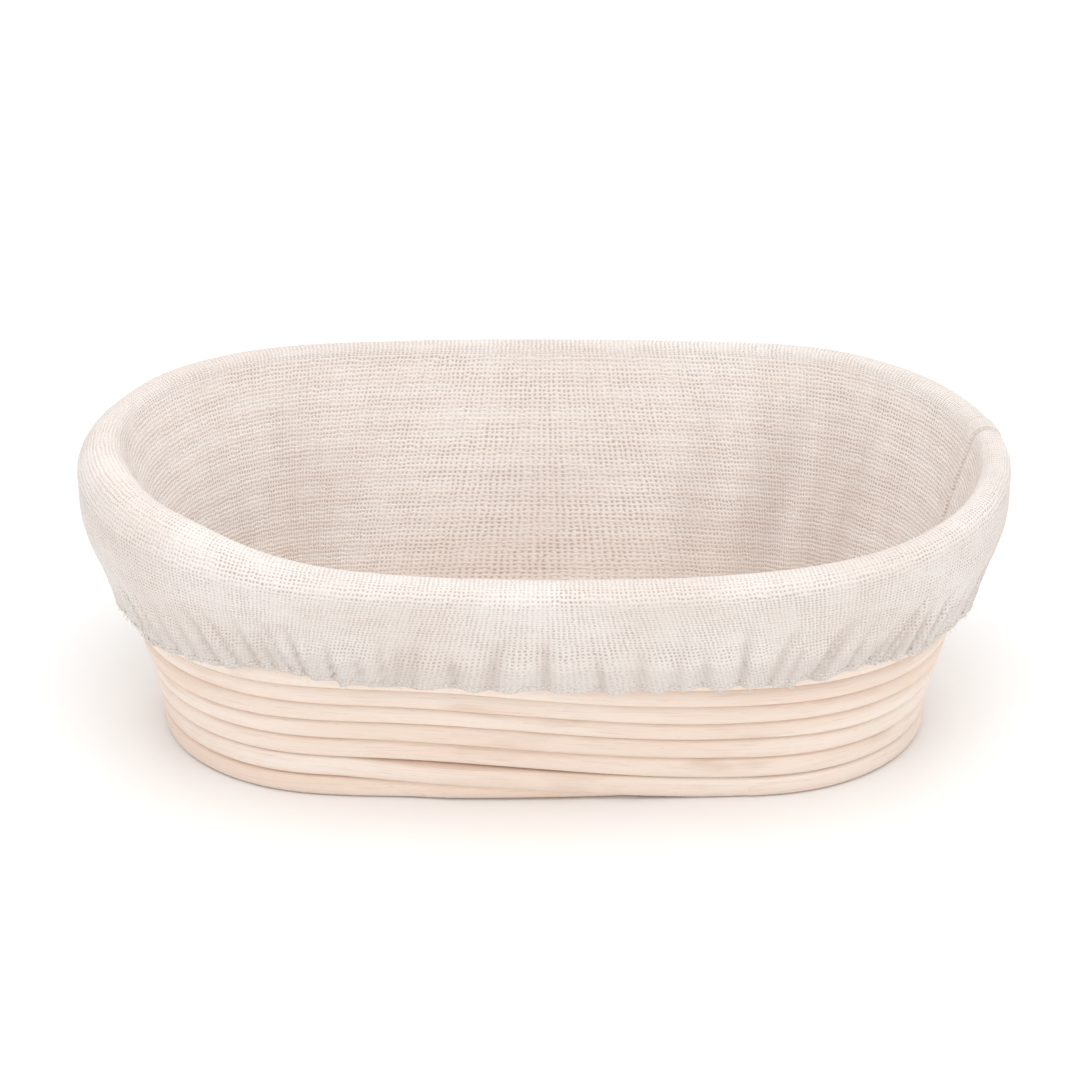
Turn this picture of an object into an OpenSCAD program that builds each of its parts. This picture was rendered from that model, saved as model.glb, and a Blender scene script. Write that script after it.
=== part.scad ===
// Oval coiled-cane proofing basket (banneton) with a removable cloth liner.
// Frame: origin at the centre of the resting face, +X along the length, +Z up, millimetres.
// One cane path winds clockwise, seen from above, from a straight core out to the edge of
// the base and then up the wall. It changes level only in a short zone on the -Y side.

/* [Basket] */
// Length over the rim canes
rim_l = 248; // [235:1:270]
// Width over the rim canes
rim_w = 148; // [140:1:160]
// Length over the outer turn of the base
base_l = 206; // [195:1:215]
// Thickness of one cane, which is also the pitch of the coil in the base
cane_d = 6.5; // [6.3:0.1:6.8]
// Pitch of the coil in the wall, where the turns are pressed together
wall_pitch = 6.3; // [6.2:0.1:6.3]
// Turns of cane in the flat base, around the core cane
base_turns = 7; // [6:1:8]
// Turns of cane in the wall, above the outer turn of the base
wall_turns = 12; // [10:1:13]
// How the flare of the long sides grows with height: 1 is straight, more is steeper at the foot
side_flare = 1.6; // [1.0:0.1:1.8]
// How the flare of the rounded ends grows with height
end_flare = 1.2; // [1.0:0.1:1.8]
// Where the zone in which the coil changes level starts and ends, each side of the middle
climb_half_l = 55; // [50:1:56]

/* [Staples] */
// Staples in each turn of cane in the wall
staples_per_turn = 8; // [4:1:11]
// Width of the crown of a staple
staple_w = 5; // [4:0.5:6]
// Length of the legs of a staple
staple_leg = 8.5; // [7:0.5:9]
// Thickness of the staple wire
staple_wire = 0.6; // [0.5:0.1:0.8]

/* [Liner] */
// Thickness of the cloth
cloth_t = 0.6; // [0.5:0.1:1.0]
// Gap between the cloth and the canes
cloth_gap = 0.6; // [0.5:0.1:0.8]
// Length of the skirt down the outside, from the middle of the rim cane to the hem
skirt_l = 35; // [30:0.5:50]
// How far the middle of the skirt stands away from the canes at the two ends
end_drape = 3; // [0:0.5:4]
// Depth of the hem, which is folded up on the inside as a casing
hem_l = 9; // [8:0.5:12]
// Width of the elastic in the hem
elastic_w = 4; // [3:0.5:5]
// Thickness of the elastic in the hem
elastic_t = 0.6; // [0.5:0.1:1.0]
// Width of the seam allowance where the side is sewn to the floor
allowance_w = 7; // [5:0.5:9]
// Diameter of the sewing threads
thread_d = 0.5; // [0.4:0.1:0.6]
// Direction of the side seam, measured from the +X end towards the -Y side
seam_at = -13; // [-20:1:-8]

/* [Hidden] */

cane_color = [0.90, 0.80, 0.70];
cloth_color = [0.88, 0.84, 0.78];
floor_cloth_color = [0.86, 0.81, 0.75];
steel_color = [0.62, 0.63, 0.65];
elastic_color = [0.95, 0.95, 0.93];
thread_color = [0.97, 0.96, 0.92];

// A cane is an octagon, a little slimmer than the pitch of the coil, so turns don't overlap.
cane_sides = 8;
cane_r = cane_d / 2 - 0.05;
cane_flat = cane_r * cos(180 / cane_sides);
bed_z = cane_flat;
last_turn = base_turns + wall_turns;

// Directions in which the coil has a ring of points, closest together along the flat long sides.
side_steps = [0.7, 2, 5, 10, 18, 28, 39, 51, 64, 77];
steps_back = [for (i = [len(side_steps) - 1 : -1 : 0]) side_steps[i]];
half_turn = concat([90], [for (s = side_steps) 90 + s], [180], [for (s = steps_back) 270 - s]);
full_turn = concat(half_turn, [for (a = half_turn) a + 180]);
per_turn = len(full_turn);
climb_steps = 6;
function direction(i) = full_turn[(i + per_turn - climb_steps / 2) % per_turn];

// Plan of a level: an ellipse of half axes [0] and [1], moved outwards along its normals by [2].
// Level 0 is the outer turn of the base, and the level of the rim is wall_turns.
base_half_l = (base_l - cane_d) / 2;
base_half_w = base_turns * cane_d;
rim_half_l = (rim_l - cane_d) / 2;
rim_half_w = (rim_w - cane_d) / 2;
base_bow = 2.7;
rim_bow = 5.6;
function plan_with(half_l, half_w, bow) = [half_l - half_w + bow, bow, half_w - bow];
function between(low, high, level, power) = low + (high - low) * pow(level / wall_turns, power);
function plan_of(level) = level <= 0
    ? plan_with(base_half_l + level * cane_d, base_half_w + level * cane_d,
        base_bow * (1 + level / base_turns))
    : plan_with(
        between(base_half_l, rim_half_l, level, end_flare),
        between(base_half_w, rim_half_w, level, side_flare),
        between(base_bow, rim_bow, level, 1));
function ellipse_reach(plan, a) = norm([plan[0] * cos(a), plan[1] * sin(a)]);
function reach(level, a) = ellipse_reach(plan_of(level), a) + plan_of(level)[2];
// The point of a level's plan in direction a, moved to another reach along the same normal.
function plan_point(level, a, out) =
    let (plan = plan_of(level), e = ellipse_reach(plan, a))
    [(plan[0] * plan[0] / e + out - e) * cos(a), -(plan[1] * plan[1] / e + out - e) * sin(a)];

// Share of the step to the next level that the coil has made at place i of a turn.
function smooth_step(t) = t * t * (3 - 2 * t);
function climb(i) = i >= climb_steps ? 1 :
    smooth_step(0.5 - plan_point(0, direction(i), reach(0, direction(i)))[0] / (2 * climb_half_l));

// Level, reach and height of the middle of the cane in each turn, in direction a.
function level_of(turn, f) = turn - base_turns + f;
function rise(run) = sqrt(wall_pitch * wall_pitch - run * run);
function first_rise(a) = rise(reach(1, a) - reach(0, a));
function turn_reach(turn, a, f) =
    turn == 0 ? reach(level_of(0, f), a) + cane_d / 2 * (1 - f)
    : turn == base_turns ? reach(level_of(turn - 1, f), a) + rise(f * first_rise(a))
    : reach(level_of(turn, f), a);
function turn_rise(turn, a, f) =
    turn < base_turns ? 0
    : turn == base_turns ? f * first_rise(a)
    : rise(turn_reach(turn, a, f) - turn_reach(turn - 1, a, f));
function column(a, f) = [for (turn = 0, z = bed_z;
    turn <= last_turn;
    turn = turn + 1, z = z + turn_rise(turn, a, f)) [turn_reach(turn, a, f), z]];
columns = [for (i = [0 : per_turn - 1]) column(direction(i), climb(i))];
function lean(below, above) = atan2(above[1] - below[1], above[0] - below[0]) - 90;

// Ring of points around the middle of the cane at step m of the coil. At its two ends the coil
// thins out, in the wedge between the turns beside it.
function level_height(level, a) = column(a, 1)[level + base_turns - 1][1];
function end_room(m) =
    level_height(wall_turns, direction(m % per_turn)) - columns[m % per_turn][last_turn - 1][1];
function ring_radius(m) =
    m < climb_steps ? cane_r * climb(m)
    : m < last_turn * per_turn ? cane_r
    : max(0.2, end_room(m) / 2 - 0.05);
function ring_lean(turn, i) =
    turn < base_turns ? 0
    : turn == base_turns ? climb(i) * lean([reach(0, direction(i)), 0],
        [reach(1, direction(i)), first_rise(direction(i))])
    : lean(columns[i][min(turn, last_turn - 1) - 1], columns[i][min(turn, last_turn - 1)]);
function ring(m, slant = 0) =
    let (turn = floor(m / per_turn), i = m % per_turn, a = direction(i), f = climb(i))
    let (r = ring_radius(m), tilt = ring_lean(turn, i), level = min(wall_turns, level_of(turn, f)))
    let (out = turn < last_turn ? columns[i][turn][0] : reach(wall_turns, a))
    let (z = turn < last_turn ? columns[i][turn][1] : columns[i][turn - 1][1] + cane_r + 0.1 + r)
    [for (side = [0 : cane_sides - 1])
        let (b = (side + 0.5) * 360 / cane_sides + tilt, p = plan_point(level, a, out + r * cos(b)))
        [p[0] - slant * cos(b) * sin(a), p[1] - slant * cos(b) * cos(a), z + r * sin(b)]];

// A solid through rings of points that run anticlockwise, seen against the way the rings follow.
module swept(rings, closed = false) {
    n = len(rings[0]);
    count = len(rings);
    sides = [for (k = [0 : count - (closed ? 1 : 2)], p = [0 : n - 1])
        [k * n + p, (k + 1) % count * n + p, (k + 1) % count * n + (p + 1) % n, k * n + (p + 1) % n]];
    caps = closed ? [] : [[for (p = [0 : n - 1]) p], [for (p = [n - 1 : -1 : 0]) (count - 1) * n + p]];
    polyhedron(points = [for (r = rings) each r], faces = concat(sides, caps), convexity = 12);
}

// The coil is spliced at the back from four lengths of cane, with slanting ends.
splice_slant = 5;
first_step = 1;
base_end = (base_turns - 1) * per_turn + 28;
lower_end = base_end + 4 * per_turn + 4;
middle_end = lower_end + 4 * per_turn - 9;
last_step = last_turn * per_turn + climb_steps - 1;
module cane(from, to) {
    color(cane_color)
        swept([for (m = [from : to])
            ring(m, (m == from && from != first_step) || (m == to && to != last_step)
                ? splice_slant : 0)]);
}

// The straight cane in the middle of the base, which the coil starts around.
core_half_l = plan_of(1 - base_turns)[0];
module core_cane() {
    color(cane_color)
        translate([-core_half_l, 0, bed_z])
            rotate([90, 0, 90])
                linear_extrude(height = 2 * core_half_l)
                    polygon([for (side = [0 : cane_sides - 1])
                        let (b = (side + 0.5) * 360 / cane_sides) cane_r * [cos(b), sin(b)]]);
}
module base_cane() {
    cane(first_step, base_end);
}
module lower_wall_cane() {
    cane(base_end, lower_end);
}
module middle_wall_cane() {
    cane(lower_end, middle_end);
}
module upper_wall_cane() {
    cane(middle_end, last_step);
}

// Wire staples hold each turn of cane to the turn before it. They are staggered from turn to turn.
module staple() {
    translate([-staple_w / 2, -staple_wire / 2, cane_r - staple_wire])
        cube([staple_w, staple_wire, staple_wire]);
    for (x = [-staple_w / 2, staple_w / 2 - staple_wire])
        translate([x, -staple_wire / 2, cane_r - staple_leg])
            cube([staple_wire, staple_wire, staple_leg]);
}
module placed_staple(turn, i) {
    a = direction(i);
    place = plan_point(level_of(turn, climb(i)), a, columns[i][turn][0]);
    tilt = turn < base_turns ? -90 : lean(columns[i][turn - 1], columns[i][turn]);
    color(steel_color)
        translate([place[0], place[1], columns[i][turn][1]])
            rotate([0, 0, atan2(-cos(a), -sin(a))])
                rotate([tilt, 0, 0])
                    staple();
}
// Places in the turns of the base: along the long sides, and at the ends of the larger turns.
side_places = [[2, 4, 24, 26], [1, 5, 23, 27]];
end_places = [[14, 36], [12, 38]];
first_with_ends = 3;
module base_staples() {
    for (turn = [1 : base_turns - 1])
        for (i = concat(side_places[turn % 2], turn < first_with_ends ? [] : end_places[turn % 2]))
            placed_staple(turn, i);
}
module wall_staples() {
    span = (per_turn - climb_steps - 2) / staples_per_turn;
    for (turn = [base_turns : last_turn - 1], n = [0 : staples_per_turn - 1])
        placed_staple(turn, climb_steps + 1 + floor((n + (turn % 2) / 2) * span));
}

// Cross-section of the wall in direction a: the place at a distance down from the middle of the
// rim cane, and at a distance out from the faces of the canes, or in from them if inside is -1.
function wall_place(a, down, off, inside = 1) =
    let (canes = column(a, 1), level = wall_turns - down / wall_pitch)
    let (n = min(wall_turns - 1, floor(level)) + base_turns - 1, t = level + base_turns - 1 - n)
    let (tilt = lean(canes[n], canes[n + 1]), middle = canes[n] * (1 - t) + canes[n + 1] * t)
    middle + inside * (cane_r + off) * [cos(tilt), sin(tilt)];
function rim_tilt(a) = let (canes = column(a, 1)) lean(canes[last_turn - 2], canes[last_turn - 1]);

// Middle of the side cloth's thickness: floor allowance, inside, rim, skirt and hem casing.
cloth_off = cloth_gap + cloth_t / 2;
base_top = bed_z + cane_flat;
allowance_z = base_top + cloth_off;
floor_z = base_top + cloth_gap + cloth_t + 0.05;
pocket_t = elastic_t + 0.3;
hem_off = cloth_off + cloth_t + pocket_t;
lowest_inside = (wall_turns - 1) * wall_pitch;
inside_stops = [for (level = [1, 2, 4, 6, 8, 10]) (wall_turns - level) * wall_pitch];
skirt_stops = [wall_pitch, 3 * wall_pitch];
rim_points = 6;
function rim_place(a, b) =
    column(a, 1)[last_turn - 1] + (cane_r + cloth_off) * [cos(b), sin(b)];
function skirt_place(a, down, off) =
    wall_place(a, down, off + end_drape * pow(cos(a), 2) * sin(180 * min(1, down / (skirt_l - hem_l))));
function corner(a) = wall_place(a, lowest_inside, cloth_off, -1)[0];
function side_middle(a) = concat(
    [[corner(a) - allowance_w, allowance_z], [corner(a) - 1.1, allowance_z]],
    [[corner(a) - 0.1, allowance_z + 1]],
    [for (down = inside_stops) wall_place(a, down, cloth_off, -1)],
    [for (n = [0 : rim_points - 1]) rim_place(a, rim_tilt(a) + 180 - n * 180 / (rim_points - 1))],
    [for (down = skirt_stops) skirt_place(a, down, cloth_off)],
    [skirt_place(a, skirt_l - hem_l - 4, cloth_off)],
    [skirt_place(a, skirt_l - hem_l, hem_off)],
    [skirt_place(a, skirt_l - 1.2, hem_off)],
    [skirt_place(a, skirt_l, (cloth_off + hem_off) / 2)],
    [skirt_place(a, skirt_l - 1.2, cloth_off)],
    [skirt_place(a, skirt_l - hem_l + 1.5, cloth_off)]);
seam_from = 2;
seam_to = 3 + len(inside_stops) + rim_points + len(skirt_stops) + 3;

// A path moved sideways, to the left of the way it runs.
function left(v) = [-v[1], v[0]] / norm(v);
function shifted(path, by) = [for (k = [0 : len(path) - 1])
    let (before = left(path[max(k, 1)] - path[max(k, 1) - 1]))
    let (after = left(path[min(k + 1, len(path) - 1)] - path[min(k + 1, len(path) - 1) - 1]))
    path[k] + by * (before + after) / (1 + before * after)];
function reversed(list) = [for (k = [len(list) - 1 : -1 : 0]) list[k]];
function thickened(path, t) = concat(shifted(path, -t / 2), reversed(shifted(path, t / 2)));

// A cross-section stood up in direction a. The plan of the rim gives its curve along the basket.
function stood(a, section) = [for (q = section)
    let (level = max(0, min(wall_turns, (q[1] - bed_z) / wall_pitch)))
    let (p = plan_point(level, a, q[0])) [p[0], p[1], q[1]]];
module around(sections) {
    swept([for (k = [0 : per_turn - 1]) stood(full_turn[k], sections[k])], closed = true);
}

module liner_side_cloth() {
    color(cloth_color)
        around([for (a = full_turn) thickened(side_middle(a), cloth_t)]);
}
floor_margin = 1.6;
module liner_floor_cloth() {
    color(floor_cloth_color)
        translate([0, 0, floor_z])
            linear_extrude(height = cloth_t)
                polygon([for (a = full_turn) plan_point(0, a, corner(a) - floor_margin)]);
}

// The elastic lies in the fold of the hem.
elastic_down = skirt_l - hem_l / 2;
module hem_elastic() {
    middle_off = (cloth_off + hem_off) / 2;
    color(elastic_color)
        around([for (a = full_turn)
            [for (c = [[1, -1], [1, 1], [-1, 1], [-1, -1]])
                skirt_place(a, elastic_down - c[1] * elastic_w / 2,
                    middle_off + c[0] * elastic_t / 2)]]);
}

// Threads are round lines that lie half sunk in the cloth.
thread_sides = 6;
function thread_ring(q) = [for (k = [0 : thread_sides - 1])
    q + thread_d / 2 * [cos(k * 360 / thread_sides), sin(k * 360 / thread_sides)]];
stitch_up = 2;
module hem_thread() {
    color(thread_color)
        around([for (a = full_turn)
            thread_ring(skirt_place(a, skirt_l - stitch_up, hem_off + cloth_t / 2))]);
}
module floor_seam_thread() {
    color(thread_color)
        around([for (a = full_turn) thread_ring([corner(a) - 2.5, floor_z + cloth_t])]);
}
module side_seam_thread() {
    a = seam_at;
    face = shifted(side_middle(a), cloth_t / 2);
    along = [-sin(a), -cos(a), 0];
    color(thread_color)
        swept([for (k = [seam_from : seam_to])
            let (run = face[k + 1] - face[k - 1], side = left(run))
            [for (n = [0 : thread_sides - 1])
                let (b = n * 360 / thread_sides, q = face[k] + thread_d / 2 * cos(b) * side)
                stood(a, [q])[0] - thread_d / 2 * sin(b) * along]]);
}

core_cane();
base_cane();
lower_wall_cane();
middle_wall_cane();
upper_wall_cane();
base_staples();
wall_staples();
liner_side_cloth();
liner_floor_cloth();
hem_elastic();
hem_thread();
side_seam_thread();
floor_seam_thread();
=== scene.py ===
"""Looks of an oval coiled-cane banneton with its cloth liner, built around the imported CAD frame.

Plan shapes and sections repeat the CAD source's own rules, in millimetres, and every mesh is
scaled to metres when it is made.
"""

import math

import bpy
import numpy as np
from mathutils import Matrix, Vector


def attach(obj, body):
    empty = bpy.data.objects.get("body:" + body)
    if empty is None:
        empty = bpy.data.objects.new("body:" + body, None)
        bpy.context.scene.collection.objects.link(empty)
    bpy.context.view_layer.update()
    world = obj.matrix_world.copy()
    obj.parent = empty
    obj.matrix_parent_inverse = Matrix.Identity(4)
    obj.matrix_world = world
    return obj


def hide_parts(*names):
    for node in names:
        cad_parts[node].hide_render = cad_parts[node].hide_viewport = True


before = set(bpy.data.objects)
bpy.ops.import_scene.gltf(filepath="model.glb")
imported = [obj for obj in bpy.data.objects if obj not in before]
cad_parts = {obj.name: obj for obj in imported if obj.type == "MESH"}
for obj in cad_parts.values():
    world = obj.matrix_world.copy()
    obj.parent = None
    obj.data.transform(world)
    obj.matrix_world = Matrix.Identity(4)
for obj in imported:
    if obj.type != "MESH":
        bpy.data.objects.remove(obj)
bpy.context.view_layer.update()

MM = 0.001
TAU = 2 * math.pi

# ---------------------------------------------------------------- plan of the basket, as in the CAD
CANE_D, WALL_PITCH, CANE_R = 6.5, 6.3, 3.2
BASE_TURNS, WALL_TURNS = 7, 12
LAST_TURN = BASE_TURNS + WALL_TURNS
BASE_HALF_L, BASE_HALF_W, BASE_BOW = 99.75, 45.5, 2.7
RIM_HALF_L, RIM_HALF_W, RIM_BOW = 120.75, 70.75, 5.6
SIDE_FLARE, END_FLARE = 1.6, 1.2
CLIMB_HALF_L = 55
BED_Z = CANE_R * math.cos(math.radians(22.5))
CLIMB_FROM, CLIMB_TO = math.radians(85), math.radians(95)


def plan_of(level):
    """Half axes of a level's ellipse, and how far the plan lies outside it."""
    level = np.asarray(level, float)
    up = np.clip(level, 0, None) / WALL_TURNS
    low = np.minimum(level, 0)
    half_l = BASE_HALF_L + low * CANE_D + (RIM_HALF_L - BASE_HALF_L) * up**END_FLARE
    half_w = BASE_HALF_W + low * CANE_D + (RIM_HALF_W - BASE_HALF_W) * up**SIDE_FLARE
    bow = BASE_BOW * (1 + low / BASE_TURNS) + (RIM_BOW - BASE_BOW) * up
    return half_l - half_w + bow, bow, half_w - bow


def ellipse_reach(plan, a):
    return np.hypot(plan[0] * np.cos(a), plan[1] * np.sin(a))


def reach(level, a):
    plan = plan_of(level)
    return ellipse_reach(plan, a) + plan[2]


def plan_point(level, a, out):
    """The point with normal direction a, measured from +X towards -Y, at that reach."""
    plan = plan_of(level)
    e = ellipse_reach(plan, a)
    x = (plan[0] ** 2 / e + out - e) * np.cos(a)
    y = -(plan[1] ** 2 / e + out - e) * np.sin(a)
    return x, y


def smooth_step(t):
    t = np.clip(t, 0, 1)
    return t * t * (3 - 2 * t)


def rise(run):
    return np.sqrt(np.maximum(WALL_PITCH**2 - run**2, 0))


def noise_line(x, wavelength, seed, period=None):
    """Smooth noise along a line, from -1 to 1. With a period, it joins up with itself."""
    x = np.asarray(x, float) / wavelength
    count = 4096 if period is None else max(3, int(round(period / wavelength)))
    if period is not None:
        x = x * count / (period / wavelength)
    values = np.random.default_rng(seed).uniform(-1, 1, count)
    cell = np.floor(x).astype(int)
    t = smooth_step(x - cell)
    return values[cell % count] * (1 - t) + values[(cell + 1) % count] * t


def run_along(line):
    """Distance along a line of points, at each of them."""
    return np.concatenate([[0], np.cumsum(np.linalg.norm(np.diff(line, axis=0), axis=1))])


# ---------------------------------------------------------------- meshes
def add_mesh(name, points, faces, material, attributes=None, smooth=True):
    """A mesh object from points in millimetres. Attributes are named arrays, one row per point."""
    mesh = bpy.data.meshes.new(name)
    mesh.from_pydata((np.asarray(points, float) * MM).tolist(), [], faces)
    for key, values in (attributes or {}).items():
        values = np.asarray(values, np.float32)
        kind = "FLOAT" if values.ndim == 1 else "FLOAT_VECTOR"
        made = mesh.attributes.new(key, kind, "POINT")
        made.data.foreach_set("value" if values.ndim == 1 else "vector", values.ravel())
    if smooth:
        mesh.polygons.foreach_set("use_smooth", [True] * len(mesh.polygons))
    mesh.materials.append(material)
    mesh.update()
    o = bpy.data.objects.new(name, mesh)
    bpy.context.scene.collection.objects.link(o)
    return o


def tube_faces(rings, sides, first=0, closed=False):
    """Quads of a tube, facing out if its rings run anticlockwise, seen looking back along it."""
    faces = []
    for k in range(rings if closed else rings - 1):
        a, b = first + k * sides, first + (k + 1) % rings * sides
        for p in range(sides):
            q = (p + 1) % sides
            faces.append((a + p, a + q, b + q, b + p))
    return faces


def sweep(centres, right, up, extents, sides, power=0.64):
    """Points of a tube's rings, and each point's angle in its ring.

    Extents are half sizes to the right, up, left and down. Power 1 is an ellipse, less is squarer.
    """
    b = (np.arange(sides) + 0.5) * TAU / sides
    c, s = np.cos(b), np.sin(b)
    c, s = np.sign(c) * np.abs(c) ** power, np.sign(s) * np.abs(s) ** power
    across = np.where(c > 0, extents[:, 0:1], extents[:, 2:3]) * c
    along = np.where(s > 0, extents[:, 1:2], extents[:, 3:4]) * s
    return centres[:, None] + across[..., None] * right[:, None] + along[..., None] * up[:, None], b


# A domed end's extra ring: its size, and how far out it lies, as a share of the dome.
DOME_RING, DOME_RING_OUT = 0.8, 0.7


def domed(points, sides, out, faces, first=0):
    """Adds a shrunken ring and a middle point at both ends of a tube, so its ends are domed."""
    rings = len(points) // sides
    extra = []
    for end, sign in ((0, -1), (rings - 1, 1)):
        ring = points[end * sides : (end + 1) * sides]
        middle = ring.mean(0)
        inner = points[(end - sign) * sides : (end - sign + 1) * sides].mean(0)
        way = (middle - inner) / max(np.linalg.norm(middle - inner), 1e-9)
        size = np.linalg.norm(ring - middle, axis=1).mean()
        start = first + len(points) + len(extra)
        extra.extend(middle + (ring - middle) * DOME_RING + way * out * size * DOME_RING_OUT)
        extra.append(middle + way * out * size)
        for p in range(sides):
            q = (p + 1) % sides
            a, b = first + end * sides + p, first + end * sides + q
            c, d = start + p, start + q
            if sign > 0:
                faces.extend([(a, b, d, c), (c, d, start + sides)])
            else:
                faces.extend([(a, c, d, b), (c, start + sides, d)])
    return np.vstack([points, extra])


# ---------------------------------------------------------------- materials
def new_material(name):
    m = bpy.data.materials.new(name)
    m.use_nodes = True
    return m, m.node_tree, m.node_tree.nodes["Principled BSDF"]


def node(tree, kind, **values):
    """A node with its properties and inputs set. An input's name is in_ and its index."""
    n = tree.nodes.new(kind)
    for key, value in values.items():
        if key.startswith("in_"):
            slot = n.inputs[int(key[3:])]
            if isinstance(value, bpy.types.NodeSocket):
                tree.links.new(value, slot)
            else:
                slot.default_value = value
        else:
            setattr(n, key, value)
    return n


def calc(tree, operation, a, b=0.0, c=0.0):
    """The result of a math node. A and b are sockets or numbers."""
    return node(tree, "ShaderNodeMath", operation=operation, in_0=a, in_1=b, in_2=c).outputs[0]


def times(tree, a, b):
    return calc(tree, "MULTIPLY", a, b)


def attribute(tree, name):
    return node(tree, "ShaderNodeAttribute", attribute_name=name).outputs


def ramped(tree, value, low, high, to_low=0.0, to_high=1.0):
    n = node(tree, "ShaderNodeMapRange", interpolation_type="SMOOTHSTEP", in_0=value, in_1=low,
             in_2=high, in_3=to_low, in_4=to_high)
    return n.outputs[0]


def mixed(tree, share, a, b, blend="MIX"):
    """A colour mix. A and b are sockets or colours."""
    n = tree.nodes.new("ShaderNodeMix")
    n.data_type, n.blend_type = "RGBA", blend
    for slot, value in ((0, share), (6, a), (7, b)):
        if isinstance(value, bpy.types.NodeSocket):
            tree.links.new(value, n.inputs[slot])
        else:
            n.inputs[slot].default_value = value
    return n.outputs[2]


def stretched(tree, vector, scale):
    return node(tree, "ShaderNodeVectorMath", operation="MULTIPLY", in_0=vector, in_1=scale).outputs[0]


def noise(tree, vector, scales, detail, rough=0.5):
    """Noise with its own scale along each axis of the vector."""
    n = node(tree, "ShaderNodeTexNoise", in_0=stretched(tree, vector, scales))
    n.inputs["Scale"].default_value = 1.0
    n.inputs["Detail"].default_value = detail
    n.inputs["Roughness"].default_value = rough
    return n.outputs["Fac"]


def bumped(tree, shader, height, distance, strength=1.0):
    n = node(tree, "ShaderNodeBump")
    n.inputs["Strength"].default_value = strength
    n.inputs["Distance"].default_value = distance
    tree.links.new(height, n.inputs["Height"])
    tree.links.new(n.outputs["Normal"], shader.inputs["Normal"])


def rgb(r, g, b):
    """A display colour, 0 to 255, as a linear one."""

    def linear(v):
        v /= 255
        return v / 12.92 if v <= 0.04045 else ((v + 0.055) / 1.055) ** 2.4

    return (linear(r), linear(g), linear(b), 1.0)


def cane_material(name, light, dark, groove):
    """Peeled rattan core: fine fibres and pores along the cane, slow changes of tone, and painted shade
    in the grooves between canes. cane_at is (metres along, and the place in the section), groove is 1 in the
    groove."""
    m, tree, shader = new_material(name)
    place = attribute(tree, "cane_at")["Vector"]
    shade = attribute(tree, "groove")["Fac"]
    tone = noise(tree, place, (9, 60, 60), 3)
    blotch = noise(tree, place, (45, 160, 160), 2)
    fibre = noise(tree, place, (70, 2600, 2600), 3, 0.6)
    pore = noise(tree, place, (260, 4200, 4200), 1)
    colour = mixed(tree, ramped(tree, tone, 0.3, 0.7), dark, light)
    colour = mixed(tree, ramped(tree, blotch, 0.55, 0.8, 0, 0.35), colour, rgb(214, 184, 160))
    colour = mixed(tree, ramped(tree, fibre, 0.5, 0.75, 0, 0.3), colour, rgb(205, 172, 146))
    colour = mixed(tree, ramped(tree, pore, 0.68, 0.8, 0, 0.25), colour, rgb(176, 138, 108))
    # Painted shade darkens the grooves between canes.
    colour = mixed(tree, ramped(tree, shade, 0.4, 1.0, 0, 0.4), colour, groove)
    tree.links.new(colour, shader.inputs["Base Color"])
    tree.links.new(ramped(tree, fibre, 0.3, 0.8, 0.5, 0.72), shader.inputs["Roughness"])
    shader.inputs["Specular IOR Level"].default_value = 0.35
    shader.inputs["Subsurface Weight"].default_value = 0.12
    shader.inputs["Subsurface Radius"].default_value = (0.004, 0.002, 0.001)
    bumped(tree, shader, calc(tree, "ADD", fibre, times(tree, blotch, 0.6)), 0.00012, 0.5)
    return m


# Metres from one thread of the cloth to the next.
WEAVE_PITCH = 0.00118


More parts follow.
